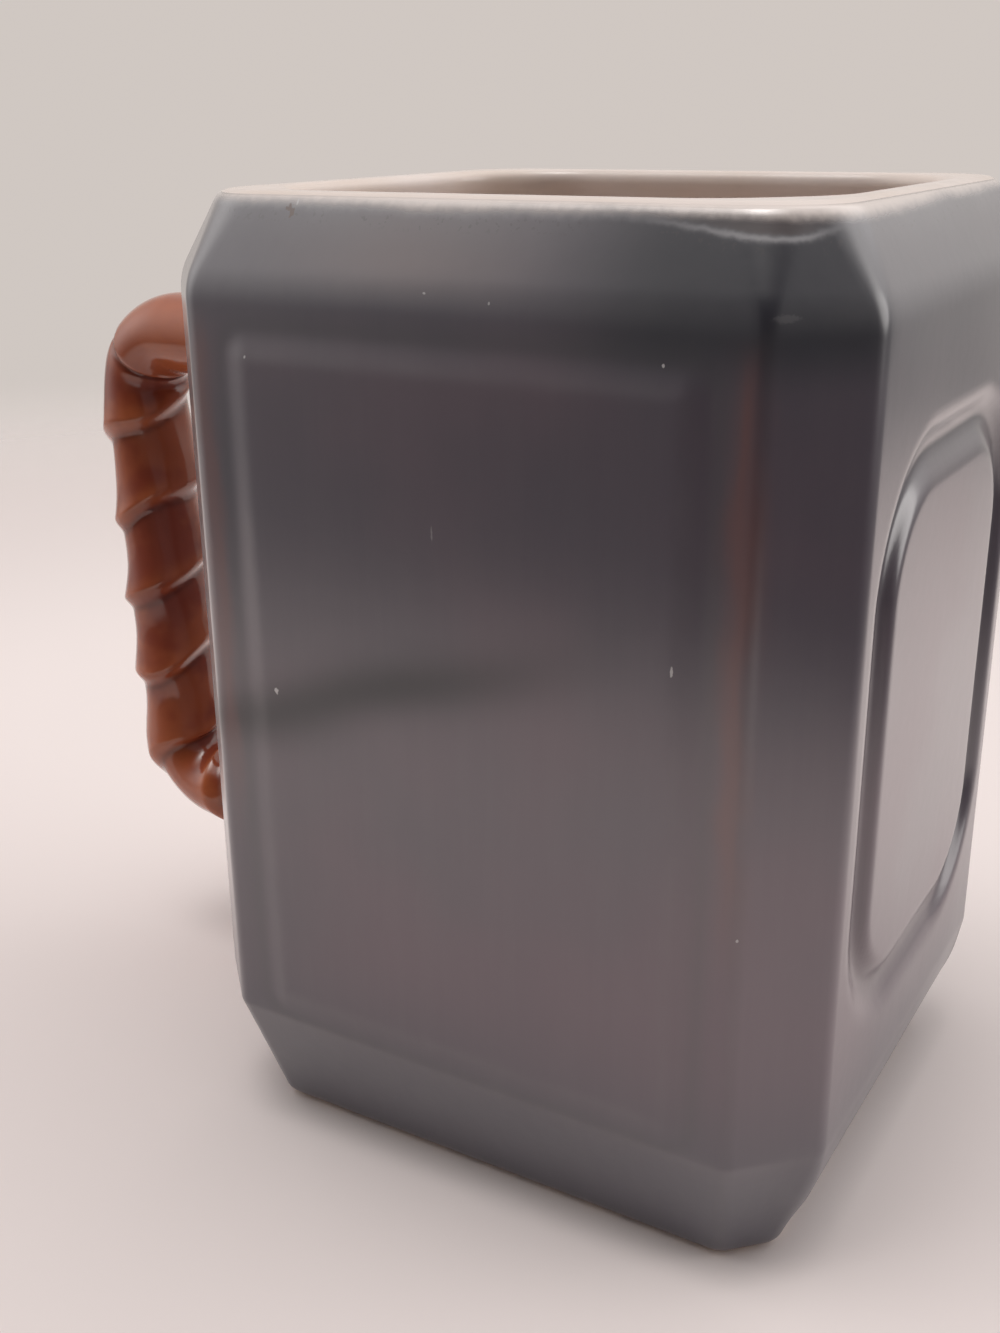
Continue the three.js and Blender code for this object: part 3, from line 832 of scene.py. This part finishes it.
def rim_veil(w, given):
    """Where the liner glaze runs out over the rim: its cover, the thin veil below and the veil's edge.

    The depth below the rim is compared with a reach that wanders and has one deep dip on the front. The
    halo is a bell on that reach. The veil's tail fades as exp(-depth / tail length) below it, and is
    thinner towards the front's corner at +X.
    """
    place = given["Place"]
    x, y, z = w.split(place)
    usual_lip, lip_to_reach, halo_width, tail_length, fringe_depth = 0.0007, 0.0009, 0.00032, 0.0026, 0.0009
    front = w.fall(y, -0.0325, -0.0275)
    dip = w.bell((x - given["Dip X"]) / given["Dip Width"]) * front
    slow = w.uneven(place, 38.0, -0.0003, 0.0004)
    grain = w.uneven(place, 900.0, -0.00008, 0.00008)
    lip = slow + w.ramp(x, -0.015, 0.03, -0.00045, 0.0) + (grain + usual_lip)
    below = given["Rim Height"] - z
    past = below - (lip + lip_to_reach + dip * given["Dip Depth"])
    tail = w.math("EXPONENT", w.math("MAXIMUM", past, 0.0) / -tail_length)
    corner = w.ramp(x, 0.022, 0.044) * w.fall(y, -0.03, -0.024)
    speck = w.math("GREATER_THAN", w.noise(place, 1900.0, 1.0), 0.64)
    return {
        "Cover": w.fall(below - lip, -0.0004, 0.0011),
        "Veil": tail * w.ramp(w.noise(place, 90.0), 0.25, 0.75, 0.7, 1.0) * (corner * -0.85 + 1.0),
        "Halo": w.bell(past / halo_width) * (dip * 0.75 + front * 0.25),
        "Patch": dip * w.fall(past, -0.0006, -0.0001),
        "Fringe": w.fall(abs(past - fringe_depth), 0.0, 0.0011) * speck,
    }


def front_tone(w, given):
    """Painted light and shade on the front, and rust: a slanting band of painted shade, rusty edges, and on
    the rim bevel a painted warm highlight here and painted shade there.

    The band, the rust and the highlight are bells: across a slanting line, across the panel's upright
    edges, and along X. The rust runs up both the front and the back. The band stands in for a dark edge
    reflected in the glaze. The rim's highlight and shade stand for the bright and dark surroundings that
    the bevel reflects.
    """
    place = given["Place"]
    x, y, z = w.split(place)
    band_slope, band_height, band_width = 0.318, 0.0604, 0.0039
    spot_x, spot_width, rust_width = 0.015, 0.014, 0.0015
    front = w.fall(y, -0.031, -0.025)
    across = z - (x * band_slope + band_height) + w.uneven(place, 30.0, -0.0015, 0.0015, 1.0)
    side = abs(x - BLOCK_X * MM) - (given["Edge X"] - BLOCK_X * MM)
    ragged = side + w.uneven(w.stretched(place, (1, 1, 0.25)), 330.0, -0.0006, 0.0006)
    return {
        # Painted shade: a darker slanting band that stands in for a dark edge reflected in the front
        "Band": w.bell(across / band_width) * w.ramp(x, 0.012, 0.046, front, 0.0),
        "Rust": w.bell(ragged / rust_width) * (w.ramp(z, 0.036, 0.06) * w.fall(z, 0.097, 0.105)),
        # Painted highlight: a warm, lighter patch where the rim bevel reflects bright light
        "Rim Warmth": w.ramp(z, 0.104, 0.109) * front * w.bell((x - spot_x) / spot_width),
        # Painted shade where the rim bevel reflects dark surroundings towards +X
        "Rim Depth": w.ramp(z, 0.098, 0.104) * (w.ramp(x, 0.026, 0.044) * front),
    }


def small_marks(w, given):
    """The front's few flaws: pale specks and a thin smudge, and one brown chip under the rim.

    Each is a soft-edged oval on the side that faces -Y, from the lists above.
    """
    place = given["Place"]
    x, y, z = w.split(place)
    front = w.math("LESS_THAN", y, 0.0)
    wobble = w.uneven(place, 2600.0, -0.4, 0.4, 1.0)
    made = {}
    for label, marks, ragged in (("Pale", PALE_MARKS, 0.5), ("Chip", CHIP_MARKS, 1.0)):
        made[label] = 0.0
        for at_x, at_z, half_width, half_height, weight in marks:
            across = (x - at_x * MM) * (1 / (half_width * MM))
            along = (z - at_z * MM) * (1 / (half_height * MM))
            off = w.math("SQRT", across * across + along * along)
            oval = w.ramp(wobble * ragged + off, 0.6, 1.1, front, 0.0)
            made[label] = w.math("MAXIMUM", made[label], oval * weight)
    return made


GROUP_INPUTS = {
    glaze_mottle: {"Cloud Scale": 30.0, "Streak Scale": 700.0},
    rim_veil: {"Rim Height": 0.115, "Dip X": 0.0515, "Dip Width": 0.0075, "Dip Depth": 0.0014},
    front_tone: {"Edge X": 0.0517},
    small_marks: {},
}


def shared_group(build):
    """A node group that takes a Place and named values, made the first time it is asked for.

    The build function gets the group's wiring and inputs, and gives what the group puts out by name.
    """
    tree = bpy.data.node_groups.get(build.__name__)
    if tree is None:
        tree = bpy.data.node_groups.new(build.__name__, "ShaderNodeTree")
        tree.interface.new_socket("Place", in_out="INPUT", socket_type="NodeSocketVector")
        for label, default in GROUP_INPUTS[build].items():
            socket = tree.interface.new_socket(label, in_out="INPUT", socket_type="NodeSocketFloat")
            socket.default_value = default
        w = Wiring(tree)
        made = build(w, w.outputs("NodeGroupInput"))
        for label in made:
            tree.interface.new_socket(label, in_out="OUTPUT", socket_type="NodeSocketFloat")
        w.add("NodeGroupOutput", made)
    return tree


def new_material(name, **values):
    """A material with its wiring and its Principled shader, whose inputs are set to the given values."""
    material = bpy.data.materials.new(name)
    material.use_nodes = True
    shader = material.node_tree.nodes["Principled BSDF"]
    for label, value in values.items():
        shader.inputs[label.replace("_", " ")].default_value = value
    return material, Wiring(material.node_tree), shader


def glazed(w, shader, finish, roughness, peel, bump_strength, bump_distance=0.0002):
    """Feeds a glaze's colour and roughness, and the bump of its fine peel."""
    w.feed(shader.inputs["Base Color"], finish)
    w.feed(shader.inputs["Roughness"], roughness)
    bump = {"Strength": bump_strength, "Distance": bump_distance, "Height": peel}
    w.feed(shader.inputs["Normal"], w.output("Normal", "ShaderNodeBump", bump))


def layered(w, ground, layers):
    """The ground colour with each layer's colour blended over it by that layer's weight, in turn."""
    for weight, tint in layers:
        ground = w.blend(weight, ground, tint)
    return ground


def outside_glaze(look):
    """Satin lustre glaze: slow clouds of steel and plum, faint streaks, paler where it breaks on an edge,
    with painted light and shade on the front, and darker towards the foot and the rim, partly as painted shade.
    """
    material, w, shader = new_material("grey_lustre_glaze", Coat_Roughness=0.18, Coat_IOR=1.6, IOR=1.75)
    place = w.place()
    mottle = w.group(glaze_mottle, {"Cloud Scale": 17.0, "Streak Scale": 520.0})
    veil = w.group(rim_veil, {"Rim Height": RIM_Z * MM})
    tone = w.group(front_tone)
    marks = w.group(small_marks)
    height = w.split(place)[2]
    # Less plum and so darker steel towards the foot and on the rim bevel: partly the glaze's cooler tone there,
    # partly painted shade
    plum_share_with_painted_shade = w.ramp(height, 0.010, 0.034, 0.15, 1.0) * w.ramp(height, 0.097, 0.106, 1.0, 0.45)
    thinned = w.ramp(w.noise(place, 160.0, 3.0), 0.3, 0.7, 0.35, 1.0)
    ragged = height + w.uneven(place, 500.0, -0.0002, 0.0002)
    bare = w.fall(ragged, 0.0003, 0.0006)
    finish = layered(w, look.steel, (
        ((mottle["Cloud"] * 0.6 + 0.4) * plum_share_with_painted_shade, look.plum),
        (w.ramp(mottle["Streak"], 0.2, 1.0, 0.0, 0.02), look.break_grey),
        # Painted highlight on the rim bevel
        (tone["Rim Warmth"] * 0.7, PAINTED_RIM_HIGHLIGHT),
        # Painted shade on the rim bevel towards +X
        (tone["Rim Depth"] * 0.75, PAINTED_RIM_SHADE),
        # Painted shade of the front's slanting band
        (tone["Band"] * 0.85, PAINTED_BAND_SHADE),
        (tone["Rust"] * 0.75, look.rust),
        (w.attribute("edge") * thinned * 0.06, look.break_grey),
        (w.attribute("raised") * thinned * 0.08, look.break_grey),
        (w.attribute("sunk") * 0.3, POOLED_GREY),
        (mottle["Pinhole"] * 0.8, PINHOLE_PALE),
        (veil["Veil"] * 0.62, look.veil),
        (veil["Patch"] * 0.55, VEIL_SHADE),
        (veil["Halo"] * 0.7, look.halo),
        (veil["Fringe"] * 0.4, FRINGE_SPECK),
        (veil["Cover"], look.cream),
        (w.ramp(ragged, 0.0006, 0.0016, 0.6, 0.0), look.rust),
        (marks["Pale"], MARK_PALE),
        (marks["Chip"] * 0.85, CHIP_BROWN),
        (bare, look.clay),
    ))
    satin = w.ramp(mottle["Cloud"], 0.0, 1.0, -0.03, 0.03) + look.outside_roughness + veil["Cover"] * -0.14
    glazed(w, shader, finish, w.math("ADD", satin, bare * 0.5, clamp=True), mottle["Peel"], 0.1)
    # The painted shade of the band and of the rim also loses coat, so that it stays dark
    dulled_in_painted_shade = tone["Band"] * 0.8 + tone["Rim Depth"] * 0.6
    lean = w.math("SUBTRACT", 1.0, dulled_in_painted_shade, clamp=True) * w.ramp(height, 0.0, 0.075, 0.45, 1.0)
    w.feed(shader.inputs["Coat Weight"], (1.0 - bare) * (lean * look.outside_gloss))
    return material


def liner_glaze(look):
    """Gloss cream glaze with slow warm clouds."""
    material, w, shader = new_material("cream_liner_glaze", IOR=1.5)
    mottle = w.group(glaze_mottle, {"Cloud Scale": 34.0, "Streak Scale": 240.0})
    warm = tuple(part * share_kept for part, share_kept in zip(look.cream, (0.93, 0.90, 0.86)))
    finish = layered(w, look.cream, ((mottle["Cloud"], warm), (mottle["Pinhole"] * 0.5, look.clay)))
    glazed(w, shader, finish, w.ramp(mottle["Streak"], 0.0, 1.0, 0.13, 0.19), mottle["Peel"], 0.08)
    return material


def handle_glaze(look):
    """Gloss red-brown glaze: amber where it thins over a ridge, dark where it pools in a crease."""
    material, w, shader = new_material("brown_handle_glaze", IOR=1.52, Coat_Weight=0.3, Coat_Roughness=0.03)
    mottle = w.group(glaze_mottle, {"Cloud Scale": 95.0, "Streak Scale": 500.0})
    finish = layered(w, look.russet, (
        (w.ramp(mottle["Cloud"], 0.0, 1.0, 0.0, 0.55), look.amber),
        (w.ramp(w.attribute("bound"), 0.0, 1.0, 0.45, 0.0), look.amber),
        (w.attribute("ridge") * w.uneven(w.place(), 220.0, 0.3, 0.8), look.amber),
        (w.attribute("crease") * 0.5, look.oxblood),
    ))
    glazed(w, shader, finish, w.ramp(mottle["Peel"], 0.3, 0.7, 0.10, 0.16), mottle["Peel"], 0.1, 0.0003)
    return material


def add_piece(name, surface, material, node):
    """Makes a piece that rides on the mug's one body, in a node's place and with the given material."""
    rings, attributes, *sharp_rings = surface
    piece = add_mesh(name, rings, attributes, material, *sharp_rings)
    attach(piece, "root")
    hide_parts(node)


class MUG_OT_clay_block(Operator):
    """Build the glazed clay block with its bevels, panels, pad and foot"""

    bl_idname = "mug.clay_block"
    bl_label = "Clay Block"

    def execute(self, context):
        block, cup = cast_sizes(context.scene)
        add_piece("glazed_block", block_surface(block, cup), outside_glaze(context.scene.mug_glaze),
                  "body_shell")
        return {"FINISHED"}


class MUG_OT_liner(Operator):
    """Build the poured liner glaze with its lip over the rim"""

    bl_idname = "mug.liner"
    bl_label = "Liner Glaze"

    def execute(self, context):
        block, cup = cast_sizes(context.scene)
        add_piece("cream_liner", liner_surface(block, cup), liner_glaze(context.scene.mug_glaze),
                  "liner_glaze")
        return {"FINISHED"}


class MUG_OT_handle(Operator):
    """Build the bound loop handle and the two beads of slip that hold it"""

    bl_idname = "mug.handle"
    bl_label = "Handle and Joints"

    def execute(self, context):
        handle = in_mm(context.scene.mug_handle)
        material = handle_glaze(context.scene.mug_glaze)
        add_piece("bound_handle", handle_surface(handle), material, "handle")
        strap = handle.strap_thin + handle.strap_lip
        upper = RIM_Z - handle.upper_arm_drop
        for place, height, proud in (("upper", upper, 0), ("lower", handle.lower_arm_height, strap)):
            add_piece(f"{place}_slip_bead", joint_surface(handle, height, proud), material,
                      f"{place}_handle_joint")
        return {"FINISHED"}


# Headings are an azimuth from +X and an elevation, in degrees. A window has a heading and its spread.
FRONT_WINDOW = ((-105, 77), 28.0)
LEFT_WINDOW = ((200, 24), 7.0)
BACK_WINDOW = ((54, 40.4), 5.5)
DOOR = (22, 16)
DOOR_EDGE = (0.90, 0.97)
SHADE = (-70, 35)
SHADE_WIDTH = 0.32
CAMERA_HEADING = (121, 5)
PAPER_FADE, PAPER_END = 0.15, 0.27  # metres along +X and -Y between which the paper gives way
FLOOR_REACH = 700.0
FLOOR_DROP = 0.03
LAMP_TINT = (1.0, 0.965, 0.945)


def floor_material(look):
    """Pale paper that gives way to the surroundings further out, and sooner towards +X and -Y."""
    material, w, shader = new_material("floor_paper", Roughness=0.8, Specular_IOR_Level=0.1)
    w.feed(shader.inputs["Base Color"], look.floor)
    flat = w.stretched(w.place(), (1, 1, 0))
    x, y = w.split(flat)[:2]
    away = w.output("Value", "ShaderNodeVectorMath", {0: flat}, operation="LENGTH")
    near = w.ramp(y, -PAPER_END, -PAPER_FADE) * w.fall(x, PAPER_FADE, PAPER_END)
    clear = Signal(w, w.add("ShaderNodeBsdfTransparent").outputs[0])
    gone = 1.0 - near * w.fall(away, 0.16, 0.62)
    mix = w.output(0, "ShaderNodeMixShader", {0: gone, 1: Signal(w, shader.outputs[0]), 2: clear})
    w.feed(material.node_tree.nodes["Material Output"].inputs["Surface"], mix)
    return material


def light_room(look):
    """Dim surroundings with three soft windows, a crisp opening and a shade in front.

    With c as the cosine between a ray and a thing's heading, a window adds its strength times
    exp(spread (c - 1)), the opening is a disc that ends in a smooth step of c, and the shade takes all
    the light times 1 - exp(-((1 - c) / width)^2). The camera and rays through glass see one even tone
    instead, and so do mirrored rays that go where the camera looks.
    """
    world = bpy.data.worlds.new("room")
    bpy.context.scene.world = world
    world.use_nodes = True
    world.node_tree.nodes.clear()
    w = Wiring(world.node_tree)
    direction = w.output("Generated", "ShaderNodeTexCoord")
    level = w.math("MAXIMUM", w.split(direction)[2] * look.room_rise + look.room_light, 0.0)
    for strength, heading, spread in ((look.front_light, *FRONT_WINDOW), (look.left_light, *LEFT_WINDOW),
                                      (look.back_light, *BACK_WINDOW)):
        level = w.math("EXPONENT", w.facing(direction, heading) * spread - spread) * strength + level
    level = w.ramp(w.facing(direction, DOOR), *DOOR_EDGE) * look.door_light + level
    level = level * (1.0 - w.bell((1.0 - w.facing(direction, SHADE)) / SHADE_WIDTH))
    lit = w.output(0, "ShaderNodeBackground", {"Color": LAMP_TINT, "Strength": level})
    seen = w.output(0, "ShaderNodeBackground", {"Color": look.surround, "Strength": 1.0})
    ray = w.outputs("ShaderNodeLightPath")
    mirrored = ray["Is Glossy Ray"] * w.ramp(w.facing(direction, CAMERA_HEADING), 0.55, 0.95)
    through = ray["Is Camera Ray"] + ray["Is Transmission Ray"]
    mix = w.output(0, "ShaderNodeMixShader", {0: w.math("ADD", through, mirrored, clamp=True), 1: lit, 2: seen})
    w.add("ShaderNodeOutputWorld", {"Surface": mix})


def add_camera():
    """The photograph's camera: its place and turn were worked out from the block's outline."""
    place = np.array([BLOCK_X + 79.68, -161.32, 122.6])
    yaw, tilt, roll = np.radians([30.83, 20.34, -0.60])
    focal_pixels, frame_height, sensor_height = 1498.5, 1333, 36
    ahead = np.array([-np.sin(yaw) * np.cos(tilt), np.cos(yaw) * np.cos(tilt), -np.sin(tilt)])
    level = np.array([np.cos(yaw), np.sin(yaw), 0])
    over = np.cross(level, ahead)
    right = np.cos(roll) * level + np.sin(roll) * over
    up = np.cross(right, ahead)
    data = bpy.data.cameras.new("photo_camera")
    data.sensor_width = sensor_height
    data.lens = sensor_height * focal_pixels / frame_height
    data.clip_start = 0.01
    camera = bpy.data.objects.new("photo_camera", data)
    bpy.context.collection.objects.link(camera)
    turned = Matrix(np.stack([right, up, -ahead], -1).tolist()).to_4x4()
    camera.matrix_world = Matrix.Translation(place * MM) @ turned
    bpy.context.scene.camera = camera


class MUG_OT_stage(Operator):
    """Lay the floor, light the room and set up the camera"""

    bl_idname = "mug.stage"
    bl_label = "Stage"

    def execute(self, context):
        look = context.scene.mug_stage
        radius = FLOOR_REACH * np.linspace(0.02, 1, 40)[:, None]
        angle = np.linspace(0, 2 * np.pi, 96, endpoint=False)[None, :]
        x, y = radius * np.cos(angle), radius * np.sin(angle)
        rings = np.stack([x, y, np.full(x.shape, -FLOOR_DROP)], -1)
        rings = np.concatenate([rings, rings[::-1] - (0, 0, 1)])
        floor = add_mesh("floor", rings, {}, floor_material(look))
        light_room(look)
        add_camera()
        context.scene.view_settings.view_transform = "Standard"
        return {"FINISHED"}


class MUG_PT_sidebar(Panel):
    """Sizes, colours and build buttons of the block mug"""

    bl_idname = "MUG_PT_sidebar"
    bl_label = "Block Mug"
    bl_space_type = "VIEW_3D"
    bl_region_type = "UI"
    bl_category = "Block Mug"

    def draw(self, context):
        for name in GROUPS:
            box = self.layout.box()
            box.label(text=name.removeprefix("mug_").capitalize())
            group = getattr(context.scene, name)
            for setting in group.__annotations__:
                box.prop(group, setting)
        for operator in OPERATORS:
            self.layout.operator(operator.bl_idname)


GROUPS = {"mug_block": BlockSizes, "mug_cup": CupSizes, "mug_handle": HandleSizes, "mug_glaze": GlazeLook,
          "mug_stage": StageLook}
OPERATORS = (MUG_OT_clay_block, MUG_OT_liner, MUG_OT_handle, MUG_OT_stage)
CLASSES = (*GROUPS.values(), *OPERATORS, MUG_PT_sidebar)


def register():
    """Adds the classes and gives the scene their settings."""
    for item in CLASSES:
        bpy.utils.register_class(item)
    for name, group in GROUPS.items():
        setattr(bpy.types.Scene, name, PointerProperty(type=group))


def unregister():
    """Takes the settings and classes away again."""
    for name in GROUPS:
        delattr(bpy.types.Scene, name)
    for item in reversed(CLASSES):
        bpy.utils.unregister_class(item)


def main():
    """Builds the whole mug."""
    register()
    bpy.ops.mug.clay_block()
    bpy.ops.mug.liner()
    bpy.ops.mug.handle()
    bpy.ops.mug.stage()


if __name__ == "__main__":
    main()
